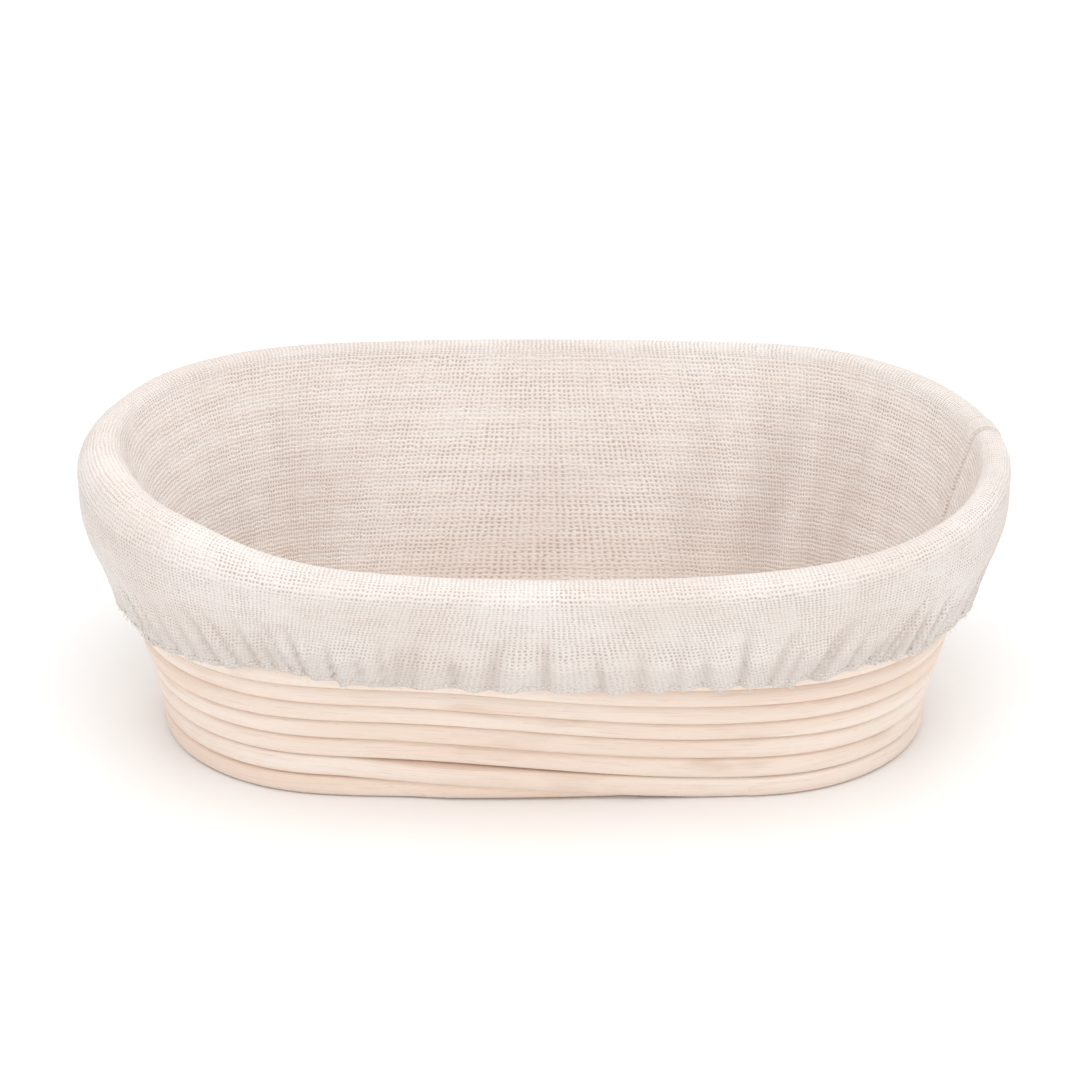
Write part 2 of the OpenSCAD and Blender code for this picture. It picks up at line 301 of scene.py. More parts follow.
def cloth_material(name, light, dark, shaded_hole):
    """Open plain weave. weave is (metres along the weft, metres along the warp, a seed), look is
    (how closed the cloth is, how near a cane lies behind it, how much painted shade it gets in a fold,
    crease or seam groove)."""
    m, tree, shader = new_material(name)
    place = attribute(tree, "weave")["Vector"]
    look = node(tree, "ShaderNodeSeparateXYZ", in_0=attribute(tree, "look")["Vector"]).outputs
    wander = node(tree, "ShaderNodeTexNoise", in_0=place)
    wander.inputs["Scale"].default_value = 420
    wander.inputs["Detail"].default_value = 1
    shift = node(tree, "ShaderNodeVectorMath", operation="SUBTRACT", in_0=wander.outputs["Color"],
                 in_1=(0.5, 0.5, 0.5)).outputs[0]
    shift = stretched(tree, shift, (0.95, 0.95, 0))
    grid = node(tree, "ShaderNodeVectorMath", operation="MULTIPLY_ADD", in_0=place,
                in_1=(1 / WEAVE_PITCH, 1 / WEAVE_PITCH, 0), in_2=shift).outputs[0]
    xyz = node(tree, "ShaderNodeSeparateXYZ", in_0=grid).outputs
    waves = []
    for axis, squeeze in ((0, (60, 900, 1)), (1, (900, 60, 1))):
        slub = noise(tree, place, squeeze, 2)
        wave = calc(tree, "COSINE", times(tree, xyz[axis], TAU))
        waves.append(calc(tree, "ADD", wave, ramped(tree, slub, 0.3, 0.7, -0.32, 0.36)))
    over = times(tree, calc(tree, "COSINE", times(tree, xyz[0], math.pi)),
                 calc(tree, "COSINE", times(tree, xyz[1], math.pi)))
    height = calc(tree, "MAXIMUM", calc(tree, "MULTIPLY_ADD", over, 0.35, waves[0]),
                  calc(tree, "MULTIPLY_ADD", over, -0.35, waves[1]))
    patch = noise(tree, place, (95, 120, 1), 2)
    height_here = calc(tree, "ADD", height, ramped(tree, patch, 0.3, 0.7, -0.2, 0.42))
    open_here = ramped(tree, height_here, -0.75, 0.05, 1.0, 0.0)
    closed = calc(tree, "SUBTRACT", 1.0, times(tree, look[0], 0.62))
    open_here = times(tree, open_here, closed)
    fuzz = noise(tree, place, (2600, 2600, 1), 2)
    tone = noise(tree, place, (26, 26, 1), 3)
    colour = mixed(tree, ramped(tree, tone, 0.32, 0.68), dark, light)
    # Painted shade on the low sides of the threads, where they dip.
    colour = mixed(tree, ramped(tree, height, 0.1, 1.1, 0.12, 0.0), colour, rgb(202, 184, 173))
    colour = mixed(tree, ramped(tree, fuzz, 0.4, 0.8, 0, 0.26), colour, rgb(252, 249, 246))
    colour = mixed(tree, times(tree, look[1], 0.2), colour, rgb(231, 208, 197))
    colour = mixed(tree, times(tree, look[0], 0.5), colour, rgb(221, 214, 209))
    # Painted shade in folds, creases and the seam's groove, darkest in the seam's groove.
    colour = mixed(tree, times(tree, look[2], 0.5), colour, rgb(190, 174, 164))
    colour = mixed(tree, ramped(tree, look[2], 0.85, 1.0, 0.0, 0.5), colour, rgb(140, 124, 112))
    # The holes are painted as the cane behind them, in shade.
    colour = mixed(tree, times(tree, open_here, 0.68), colour, shaded_hole)
    tree.links.new(colour, shader.inputs["Base Color"])
    tree.links.new(ramped(tree, fuzz, 0.2, 0.8, 0.82, 0.96), shader.inputs["Roughness"])
    shader.inputs["Specular IOR Level"].default_value = 0.2
    shader.inputs["Sheen Weight"].default_value = 0.15
    shader.inputs["Sheen Roughness"].default_value = 0.5
    bumped(tree, shader, calc(tree, "MULTIPLY_ADD", fuzz, 0.6, height), 0.00018, 0.62)
    return m


def thread_material(name, light, dark, twist=900.0):
    """Twisted sewing thread or braided elastic. thread_at is (metres along, and across)."""
    m, tree, shader = new_material(name)
    place = attribute(tree, "thread_at")["Vector"]
    xyz = node(tree, "ShaderNodeSeparateXYZ", in_0=place).outputs
    turns = times(tree, calc(tree, "ADD", xyz[0], times(tree, xyz[1], 0.8)), twist * TAU)
    ply = calc(tree, "SINE", turns)
    tone = noise(tree, place, (150, 150, 150), 2)
    # Painted shade in the grooves between the twisted plies.
    colour = mixed(tree, ramped(tree, ply, -1, 1), dark, light)
    colour = mixed(tree, ramped(tree, tone, 0.4, 0.8, 0, 0.2), colour, dark)
    tree.links.new(colour, shader.inputs["Base Color"])
    tree.links.new(ramped(tree, tone, 0.2, 0.8, 0.65, 0.85), shader.inputs["Roughness"])
    bumped(tree, shader, ply, 0.00005, 0.6)
    return m


def steel_material():
    """Dull galvanised wire, with fine scratches along it."""
    m, tree, shader = new_material("staple_wire")
    place = node(tree, "ShaderNodeTexCoord").outputs["Object"]
    grain = noise(tree, place, (900, 900, 5000), 3)
    tree.links.new(mixed(tree, grain, rgb(150, 150, 150), rgb(196, 196, 194)), shader.inputs["Base Color"])
    tree.links.new(ramped(tree, grain, 0.2, 0.8, 0.32, 0.5), shader.inputs["Roughness"])
    shader.inputs["Metallic"].default_value = 1.0
    bumped(tree, shader, grain, 0.00003, 0.4)
    return m


# The third colour of each cane look is the painted shade in the grooves between canes.
wall_cane_look = cane_material("wall_cane", rgb(250, 237, 226), rgb(244, 224, 209), rgb(206, 174, 151))
base_cane_look = cane_material("base_cane", rgb(249, 235, 223), rgb(243, 221, 205), rgb(203, 170, 147))
# The last colour of each cloth look is the cane seen through the holes, painted in shade.
cloth_look = cloth_material("liner_cloth", rgb(244, 238, 233), rgb(237, 227, 220), rgb(186, 163, 151))
floor_look = cloth_material("floor_cloth", rgb(242, 234, 227), rgb(235, 225, 217), rgb(186, 161, 147))
thread_look = thread_material("sewing_thread", rgb(243, 238, 232), rgb(216, 208, 200))
elastic_look = thread_material("elastic", rgb(248, 247, 243), rgb(214, 211, 206), 450.0)
steel_look = steel_material()

# ---------------------------------------------------------------- the coil of cane
# Rings in each turn, points in each ring, and the level along which the rings are evenly spaced.
STATIONS, SIDES, EVEN_LEVEL = 232, 16, 4
# Half height of a base cane above its middle, and how much further out the outermost one reaches.
BASE_TOP, OUTER_SWELL = 3.05, 0.12
# Half thickness of a wall cane across the wall.
WALL_HALF = CANE_R - 0.05
# Scale of the climbing turn's press-in, which is a quarter of it halfway up, and how far that turn
# may overhang the base.
CLIMB_PRESS, OVERHANG = 2.8, 1.3
# The shaved end on the rim: its least half height, and the gap under it.
TIP_HALF, TIP_GAP = 0.25, 0.1


def even_directions(level, first, count):
    """Directions in one turn from first on, the same distance apart along a level's plan."""
    fine = first + np.linspace(0, TAU, 7201)
    x, y = plan_point(level, fine, reach(level, fine))
    run = np.concatenate([[0], np.cumsum(np.hypot(np.diff(x), np.diff(y)))])
    return np.interp(np.linspace(0, run[-1], count, endpoint=False), run, fine)


stations = even_directions(EVEN_LEVEL, CLIMB_FROM, STATIONS)
x_low, _ = plan_point(0, stations, reach(0, stations))
climb = np.where(stations < CLIMB_TO, smooth_step(0.5 - x_low / (2 * CLIMB_HALF_L)), 1.0)


def column(a, f):
    """Reach and height of the cane's middle in each turn: two arrays of turns by directions."""
    first_rise = rise(reach(1, a) - reach(0, a))
    out, high = [], []
    for turn in range(LAST_TURN + 1):
        level = turn - BASE_TURNS + f
        if turn == 0:
            out.append(reach(level, a) + CANE_D / 2 * (1 - f))
        elif turn == BASE_TURNS:
            out.append(reach(level - 1, a) + rise(f * first_rise))
        else:
            out.append(reach(np.minimum(level, WALL_TURNS), a))
        if turn < BASE_TURNS:
            high.append(np.full_like(a, BED_Z))
        elif turn == BASE_TURNS:
            high.append(high[-1] + f * first_rise)
        else:
            high.append(high[-1] + rise(out[-1] - out[-2]))
    return np.array(out), np.array(high)


coil_out, coil_high = column(stations, climb)
coil_lean = np.zeros_like(coil_out)
for turn in range(BASE_TURNS, LAST_TURN):
    coil_lean[turn] = np.arctan2(coil_high[turn] - coil_high[turn - 1],
                                 coil_out[turn] - coil_out[turn - 1]) - math.pi / 2
coil_lean[BASE_TURNS] *= climb**4
coil_lean[LAST_TURN] = coil_lean[LAST_TURN - 1]

# A natural cane isn't quite even. The gaps between turns wander, and both neighbours follow them.
steps_along = np.arange((LAST_TURN + 1) * STATIONS).reshape(LAST_TURN + 1, STATIONS)
gap_wander = 0.42 * noise_line(steps_along, 46, 3) + 0.2 * noise_line(steps_along, 15, 4)
face_wander = 0.16 * noise_line(steps_along, 38, 5) + 0.08 * noise_line(steps_along, 9, 6)
lay_wander = 0.18 * noise_line(steps_along, 60, 8)
gap_wander[: BASE_TURNS + 1] *= 0.45
gap_wander[-2:] = 0


def coil_rings(turn, i):
    """Centre, axes and half extents of the cane's section at stations i of one turn."""
    a, f = stations[i], climb[i]
    z, out, lean = coil_high[turn][i], coil_out[turn][i].copy(), coil_lean[turn][i]
    level = np.minimum(turn - BASE_TURNS + f, WALL_TURNS)
    above, below = gap_wander[turn][i], gap_wander[max(turn - 1, 0)][i]
    half = np.empty((len(i), 4))
    face = face_wander[turn][i]
    if turn < BASE_TURNS:
        half[:, 0] = CANE_D / 2 + (above if turn < BASE_TURNS - 1 else OUTER_SWELL)
        half[:, 2] = CANE_D / 2 - below if turn else CANE_D / 2
        half[:, 1] = BASE_TOP + face * 0.4
        half[:, 3] = BED_Z
        if turn == BASE_TURNS - 1:
            # This turn is pressed out under the next one where that one starts to climb.
            over = coil_out[BASE_TURNS][i] - CLIMB_PRESS * f * (1 - f) - out
            fade_in, fade_out = smooth_step((f - 0.08) / 0.2), smooth_step((1 - f) / 0.2)
            half[:, 0] += np.maximum(over - OVERHANG, 0) * fade_in * fade_out
        if turn == 0:
            half *= f[:, None]
    elif turn < LAST_TURN:
        half[:, 1] = WALL_PITCH / 2 + above
        half[:, 3] = np.minimum(WALL_PITCH / 2 - (below if turn > BASE_TURNS else 0), z)
        half[:, 0] = WALL_HALF + face
        half[:, 2] = WALL_HALF - face * 0.3
        if turn == BASE_TURNS:
            out -= CLIMB_PRESS * f * (1 - f)
        elif turn < LAST_TURN - 1:
            out += lay_wander[turn][i]
    else:
        top = column(a, np.ones_like(a))[1][WALL_TURNS + BASE_TURNS - 1]
        size = np.maximum((top - coil_high[turn - 1][i]) / 2 - TIP_GAP / 2, TIP_HALF)
        half[:] = np.minimum(size, CANE_R)[:, None]
        out = reach(WALL_TURNS, a)
        z = coil_high[turn - 1][i] + CANE_R + TIP_GAP + half[:, 1]
    x, y = plan_point(level, a, out)
    centre = np.stack([x, y, z], 1)
    outward = np.stack([np.cos(a), -np.sin(a), np.zeros_like(a)], 1)
    upward = np.array([[0, 0, 1.0]])
    c, s = np.cos(lean)[:, None], np.sin(lean)[:, None]
    return centre, outward * c + upward * s, upward * c - outward * s, half


# How far a splice slants along the cane, and over what length the rings turn to it.
SPLICE, SPLICE_RUN = 5.0, 14.0
# Millimetres that the fibre pattern moves on for each turn below the start of a length of cane.
PATTERN_STEP = 700
# The painted groove shade starts at this share of the way to a neighbour, and is full this much further on.
GROOVE_SHADE_FROM, GROOVE_SHADE_RUN = 0.72, 0.26


def groove_shade_of(touch):
    return np.clip((touch - GROOVE_SHADE_FROM) / GROOVE_SHADE_RUN, 0, 1)


def cane_mesh(name, points, at, groove, dome, end_groove_shade, look):
    """A cane from its rings, with domed ends."""
    faces = tube_faces(len(points), SIDES)
    flat = domed(points.reshape(-1, 3), SIDES, dome, faces)
    extra = len(flat) - groove.size
    at = np.vstack([at.reshape(-1, 3), np.repeat(at[[0, -1]].mean(1), extra // 2, 0)]) * MM
    # Each point's share of painted groove shade, the domes' points included.
    groove = np.concatenate([groove.ravel(), np.full(extra, end_groove_shade)])
    return add_mesh(name, flat, faces, look, {"cane_at": at, "groove": groove})


def make_cane(name, nodes_for, start, end, look, taper_start=False, taper_end=False):
    """One length of cane from start to end, each (turn, direction in degrees)."""

    def step_of(place):
        a = math.radians(place[1])
        while a < stations[0]:
            a += TAU
        return place[0] * STATIONS + int(np.argmin(np.abs(stations - a)))

    first, last = step_of(start), step_of(end)
    parts = []
    for turn in range(first // STATIONS, last // STATIONS + 1):
        low, high = max(first, turn * STATIONS), min(last, (turn + 1) * STATIONS - 1)
        parts.append(coil_rings(turn, np.arange(low, high + 1) - turn * STATIONS))
    centre, right, up, half = (np.concatenate([p[k] for p in parts]) for k in range(4))
    points, b = sweep(centre, right, up, half, SIDES)
    run = run_along(centre)
    way = np.gradient(centre, axis=0)
    way /= np.linalg.norm(way, axis=1)[:, None]
    for is_taper, distance in ((taper_start, run), (taper_end, run[-1] - run)):
        if not is_taper:
            share = np.clip(1 - distance / SPLICE_RUN, 0, 1)[:, None, None]
            points += way[:, None] * (SPLICE * np.cos(b))[None, :, None] * share
    local = points - centre[:, None]
    at = np.stack([np.broadcast_to(run[:, None], points.shape[:2]) + PATTERN_STEP * start[0],
                   (local * right[:, None]).sum(2), (local * up[:, None]).sum(2)], 2)
    turn_axis = np.concatenate([np.full(len(p[0]), k) for k, p in enumerate(parts)]) + start[0]
    # How near a neighbouring cane each point lies, which sets its painted groove shade.
    touch = np.where((turn_axis < BASE_TURNS)[:, None], np.abs(np.cos(b))[None], np.abs(np.sin(b))[None])
    outer_turn = (turn_axis == BASE_TURNS - 1)[:, None] & (np.cos(b) > 0)[None]
    touch = np.where(outer_turn, np.clip(np.sin(b), 0, 1)[None], touch)
    o = cane_mesh(name, points, at, groove_shade_of(touch), 0.25, 0.5, look)
    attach(o, "basket")
    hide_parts(*nodes_for)


def make_core():
    """The straight cane that the coil starts around."""
    half_l = float(plan_of(1 - BASE_TURNS)[0])
    half_w, top = 3.05, 3.0
    x = np.linspace(-half_l, half_l, 46)
    centre = np.stack([x, 0.15 * noise_line(x + 60, 22, 11), np.full_like(x, BED_Z)], 1)
    half = np.repeat([[half_w, top, half_w, BED_Z]], len(x), 0)
    half[:, :3] += 0.12 * noise_line(x + 60, 17, 12)[:, None]
    right, up = np.repeat([[0, 1.0, 0]], len(x), 0), np.repeat([[0, 0, 1.0]], len(x), 0)
    points, b = sweep(centre, right, up, half, SIDES)
    local = points - centre[:, None]
    at = np.stack([np.broadcast_to(x[:, None], points.shape[:2]), local[..., 1], local[..., 2]], 2)
    # Painted shade in the grooves along the core.
    groove = np.broadcast_to(groove_shade_of(np.abs(np.cos(b))), points.shape[:2])
    o = cane_mesh("core", points, at, groove, 0.5, 0.3, base_cane_look)
    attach(o, "basket")
    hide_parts("core_cane")


make_core()
make_cane("base_coil", ["base_cane"], (0, 88), (6, 275), base_cane_look, taper_start=True)
make_cane("lower_wall_coil", ["lower_wall_cane"], (6, 275), (10, 309), wall_cane_look)
make_cane("middle_wall_coil", ["middle_wall_cane"], (10, 309), (14, 268), wall_cane_look)
make_cane("upper_wall_coil", ["upper_wall_cane"], (14, 268), (19, 92), wall_cane_look, taper_end=True)
for name in ("base_staples", "wall_staples"):
    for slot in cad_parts[name].material_slots:
        slot.material = steel_look
    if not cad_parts[name].material_slots:
        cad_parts[name].data.materials.append(steel_look)

# ---------------------------------------------------------------- the liner's side cloth
# Thickness of the cloth, and how far the cloth and the outside of the hem's casing lie off the canes.
CLOTH_T, CLOTH_OFF, HEM_OFF = 0.5, 0.9, 2.4
# The skirt's length from the rim cane's middle, its casing's, and how far it hangs off the ends.
SKIRT_L, HEM_L, END_DRAPE = 35.0, 9.0, 3.0
HEM_TOP = SKIRT_L - HEM_L
# The hem's fold, turned back inside: how far down each row lies, and how far off the canes.
HEM_FOLD = ((SKIRT_L - 0.15, HEM_OFF - 0.3), (SKIRT_L, (CLOTH_OFF + HEM_OFF) / 2),
            (SKIRT_L - 0.2, CLOTH_OFF + 0.25), (SKIRT_L - 1.5, CLOTH_OFF),
            (SKIRT_L - 4.5, CLOTH_OFF), (SKIRT_L - HEM_L + 1.5, CLOTH_OFF))
# Rows of the grid up the inside, over the rim, down the skirt and down the casing.
INSIDE_ROWS, ROLL_ROWS, SKIRT_ROWS, CASING_ROWS = 46, 13, 20, 8
# The side seam's direction, where the strip's ends stop short of it, and a place just inside that.
SEAM_AT, SEAM_EDGE, SEAM_EDGE_IN = math.radians(-13), 0.06, 0.07
# Widths of the floor seam's allowance and of the side seam's.
ALLOWANCE_W, SEAM_BAND = 7.0, 7.2
# The skirt puckers from this far down, and fully this much further on.
PUCKER_FROM, PUCKER_RUN = 23, 6
ALLOWANCE_Z = 2 * BED_Z + CLOTH_OFF

fine_a = SEAM_AT + np.linspace(0, TAU, 14401)
fine_x, fine_y = plan_point(WALL_TURNS, fine_a, reach(WALL_TURNS, fine_a) + CANE_R + CLOTH_OFF)
fine_q = np.concatenate([[0], np.cumsum(np.hypot(np.diff(fine_x), np.diff(fine_y)))])
STRIP_L = float(fine_q[-1])


def direction_at(q):
    return np.interp(np.mod(q, STRIP_L), fine_q, fine_a)


def wall_middles(a):
    """Reach, height and lean of the wall at each whole level: three arrays of levels by directions."""
    out, high = column(a, np.ones_like(a))
    out, high = out[BASE_TURNS - 1 : LAST_TURN], high[BASE_TURNS - 1 : LAST_TURN]
    lean = np.arctan2(np.diff(high, axis=0), np.diff(out, axis=0)) - math.pi / 2
    lean = np.concatenate([lean[:1], (lean[1:] + lean[:-1]) / 2, lean[-1:]])
    return out, high, lean


def on_wall(a, level):
    """Reach, height and lean at any level, for arrays of directions by samples."""
    tables = wall_middles(a)
    n = np.clip(np.floor(level).astype(int), 0, WALL_TURNS - 1)
    t = level - n
    who = np.broadcast_to(np.arange(len(a))[:, None], level.shape)
    return [table[n, who] * (1 - t) + table[n + 1, who] * t for table in tables]


# Folds where the hem's elastic gathers the skirt: place along the hem, width, height, where each
# starts, and how far it slants for each millimetre down.
fold_rng = np.random.default_rng(21)
FOLDS = []
place = 3.0
while place < STRIP_L - 4:
    a_here = float(direction_at(place))
    x_here = float(plan_point(WALL_TURNS, a_here, reach(WALL_TURNS, a_here))[0])
    slant = 0.95 * x_here / RIM_HALF_L * math.sin(a_here)
    FOLDS.append((place, fold_rng.uniform(1.3, 3.2), fold_rng.uniform(0.35, 1.3),
                  fold_rng.uniform(5, 19), slant + fold_rng.uniform(-0.16, 0.16)))
    place += fold_rng.uniform(4.2, 10.5)

# Where the hem rides up or hangs lower: x, side (-1 is the front), millimetres up, and width.
HEM_LIFTS = [(-66, -1, 3.9, 17), (84, -1, 1.7, 13), (-108, -1, -1.4, 13), (20, -1, -1.2, 26),
             (60, 1, 1.8, 18), (-45, 1, 2.2, 22), (5, 1, -1.0, 16), (-92, 1, -1.0, 14)]


def hem_lift(a):
    x, y = plan_point(WALL_TURNS, a, reach(WALL_TURNS, a))
    lift = 0.35 * noise_line(np.degrees(a), 14, 31, 360)
    for at, side, up, width in HEM_LIFTS:
        lift = lift + up * np.exp(-(((x - at) / width) ** 2)) * smooth_step(0.5 + side * y / 16)
    return lift


def gathers(q, down):
    """How far the skirt's gathers stand out, and how much painted shade each point gets in a crease."""
    out, crease_shade = np.zeros_like(down), np.zeros_like(down)
    for at, width, height, start, slant in FOLDS:
        off = np.mod(q - at - slant * (down - SKIRT_L) + STRIP_L / 2, STRIP_L) - STRIP_L / 2
        near = np.abs(off) < 5 * width
        if not near.any():
            continue
        grow = smooth_step((down - start) / (HEM_TOP + 2 - start)) * near
        out += height * grow * np.exp(-((off / width) ** 2))
        crease = np.exp(-(((off - 1.35 * width) / (0.5 * width)) ** 2))
        out -= 0.55 * height * grow * crease
        # Painted shade in the crease beside each gather.
        crease_shade += grow * crease * min(1.0, height)
    pucker = smooth_step((down - PUCKER_FROM) / PUCKER_RUN)
    narrow = 0.55 * noise_line(q - 0.3 * down, 2.6, 41, STRIP_L)
    out += pucker * (narrow + 0.3 * noise_line(q, 5.5, 42, STRIP_L))
    return out, np.clip(crease_shade, 0, 1)


def drape(a, down):
    """How far the skirt hangs free of the canes at the two ends of the basket."""
    return END_DRAPE * np.cos(a) ** 2 * np.sin(math.pi * np.clip(down / HEM_TOP, 0, 1))


def casing_bulge(down):
    return (HEM_OFF - CLOTH_OFF) * smooth_step((down - HEM_TOP + 8) / 9)


def skirt_spot(q, a, down, off):
    """Reach and height of the skirt at a distance down from the rim cane's middle, and its painted crease
    shade.
    """
    moved = down - hem_lift(a)[:, None] * smooth_step(down / SKIRT_L)
    out, high, lean = on_wall(a, WALL_TURNS - moved / WALL_PITCH)
    stand, crease_shade = gathers(np.broadcast_to(q[:, None], down.shape), down)
    away = CANE_R + np.maximum(off + stand, 0.5) + drape(a[:, None], down)
    return out + away * np.cos(lean), high + away * np.sin(lean), crease_shade


# Soft folds up the inside: x at the rim, x at the floor, side (1 is the back), height and width.
INNER_FOLDS = [(80, 62, 1, 2.1, 4.6), (99, 81, 1, 1.5, 3.4), (90, 73, 1, 1.2, 3.2),
               (70, 55, 1, 1.0, 3.6), (57, 44, 1, 1.0, 6), (18, 14, 1, 0.5, 10),
               (-60, -50, 1, 0.4, 9), (-90, -74, 1, 0.5, 6), (46, 36, -1, 0.5, 8),
               (-28, -22, -1, 0.45, 10), (-88, -70, -1, 0.6, 6), (93, 75, -1, 0.6, 5)]


# How far the cloth stands off the rim at the front left and at the left end, and how far it bulges
# inwards below the rim at the left end.
FRONT_LEFT_ROLL, LEFT_END_ROLL, LEFT_END_BULGE = 6.2, 1.3, 3.4


def left_end(a):
    """1 at the left end of the basket, falling to 0 on both long sides."""
    turn = np.degrees(np.mod(a, TAU))
    return smooth_step((turn - 145) / 40) * (1 - smooth_step((turn - 215) / 45))


def left_roll(a):
    """The cloth rolls more loosely over the rim at the left, most of all at the front left."""
    turn = np.degrees(np.mod(a, TAU))
    near = FRONT_LEFT_ROLL * smooth_step((turn - 85) / 50) * (1 - smooth_step((turn - 150) / 65))
    return near + LEFT_END_ROLL * left_end(a)


def inside_shape(q, a, level, x, y):
    """How far the cloth on the inside stands off its place, and how much painted shade it gets at the side
    of a fold.
    """
    crease_shade = np.zeros_like(x)
    out = -0.16 * (0.5 - 0.5 * np.cos(TAU * level))
    out = out + 0.28 * noise_line(q + 6 * level, 34, 51, STRIP_L) * np.sin(math.pi * level / WALL_TURNS)
    out += 0.16 * noise_line(q - 4 * level, 13, 52, STRIP_L) * np.sin(math.pi * level / WALL_TURNS)
    for top, foot, side, height, width in INNER_FOLDS:
        middle = foot + (top - foot) * level / WALL_TURNS
        share = np.sin(math.pi * np.clip(level / WALL_TURNS, 0, 1) ** 0.8)
        here = side * y > 0
        out += height * share * np.exp(-(((x - middle) / width) ** 2)) * here
        # Painted shade on one side of each fold.
        crease_shade += 0.3 * height * share * np.exp(-(((x - middle + 1.5 * width) / (1.1 * width)) ** 2)) * here
    out += LEFT_END_BULGE * left_end(a) * np.sin(math.pi * (level / WALL_TURNS) ** 1.3)
    return out + left_roll(a) * (level / WALL_TURNS) ** 1.5, crease_shade


def section_points(q, a):
    """The side cloth from the floor seam to the end of the hem's fold, for each column.

    Returns the points and, for each, how far the side seam shifts it, how closed the cloth is, how
    near a cane is, how much painted crease shade it gets, and how far down the skirt it is, or -1 off it.
    """
    n = len(a)
    wide = a[:, None]
    rows = []

    def add(out, high, closed=0.0, cane=0.0, crease_shade=0.0, down=-1.0):
        size = out.shape
        rows.append([np.broadcast_to(v, size) for v in (out, high, closed, cane, crease_shade, down)])

    low_out, _, low_lean = on_wall(a, np.full((n, 1), 1.0))
    corner = low_out - (CANE_R + CLOTH_OFF) * np.cos(low_lean)
    offsets = np.array([[-ALLOWANCE_W, -4.0, -1.5, -0.55, -0.15]])
    heights = np.array([[0, 0, 0.05, 0.5, 1.3]])
    add(corner + offsets, ALLOWANCE_Z + heights + 0 * corner, 0.4)

    level = np.broadcast_to(np.linspace(1, WALL_TURNS, INSIDE_ROWS), (n, INSIDE_ROWS))[:, :-1]
    out, high, lean = on_wall(a, level)
    x, y = plan_point(level, wide, out)
    stand, fold_side_shade = inside_shape(q[:, None], wide, level, x, y)
    stand += CANE_R + CLOTH_OFF
    ridge = 0.5 + 0.5 * np.cos(TAU * level)
    add(out - stand * np.cos(lean), high - stand * np.sin(lean), 0.0, ridge, fold_side_shade)

    top_out, top_high, top_lean = on_wall(a, np.full((n, 1), float(WALL_TURNS)))
    share = np.linspace(0, 1, ROLL_ROWS)[None, :]
    b = top_lean + math.pi * (1 - share)
    roll = left_roll(wide) * (1 - smooth_step((share - 0.12) / 0.6)) + 0.25 * np.sin(math.pi * share)
    roll = roll + 0.22 * noise_line(q[:, None] + 10 * share, 21, 53, STRIP_L) * np.sin(math.pi * share)
    stand = CANE_R + CLOTH_OFF - 0.3 * np.sin(math.pi * share) + roll
    add(top_out + stand * np.cos(b), top_high + stand * np.sin(b))

    down = np.broadcast_to(np.linspace(1.2, HEM_TOP, SKIRT_ROWS), (n, SKIRT_ROWS))
    out, high, crease_shade = skirt_spot(q, a, down, CLOTH_OFF + casing_bulge(down))
    add(out, high, smooth_step((down - HEM_TOP + 2) / 2) * 0.6, 0.0, crease_shade, down)
    casing_rows = np.linspace(HEM_TOP + 1.1, SKIRT_L - 0.7, CASING_ROWS)
    down = np.broadcast_to(casing_rows, (n, CASING_ROWS))
    out, high, crease_shade = skirt_spot(q, a, down, HEM_OFF + 0 * down)
    add(out, high, 0.85, 0.0, crease_shade * 0.8, down)
    for fold_down, off in HEM_FOLD:
        down = np.full((n, 1), fold_down)
        out, high, crease_shade = skirt_spot(q, a, down, off + 0 * down)
        add(out, high, 0.9, 0.0, crease_shade * 0.5, down)
    out, high, closed, cane, crease_shade, down = (np.concatenate([r[k] for r in rows], 1) for k in range(6))
    t = np.minimum(q, STRIP_L - q)[:, None]
    from_end = (STRIP_L - q)[:, None]
    band = (1 - smooth_step((from_end - SEAM_BAND + 0.5) / 0.7)) * smooth_step(t / 0.9)
    level = np.clip((high - BED_Z) / WALL_PITCH, 0, WALL_TURNS)
    x, y = plan_point(level, wide, out)
    points = np.stack([x, y, high], 2)
    groove = 0.75 * np.exp(-((t / 0.62) ** 2)) + 0.12 * np.exp(-(((from_end - SEAM_BAND) / 0.45) ** 2))
    shift = 0.4 * band - groove
    closed = np.maximum(closed, 0.45 * band)
    # Painted shade along the side seam's groove and along the edge of the allowance band.
    crease_shade = np.clip(crease_shade + 2.2 * np.exp(-((t / 0.42) ** 2))
                   + 0.35 * np.exp(-(((from_end - SEAM_BAND) / 0.5) ** 2)), 0, 1)
    return points, shift, closed, cane, crease_shade, down


def unit(v):
    return v / np.maximum(np.linalg.norm(v, axis=-1, keepdims=True), 1e-9)


def grid_normals(grid):
    return unit(np.cross(np.gradient(grid, axis=0), np.gradient(grid, axis=1)))


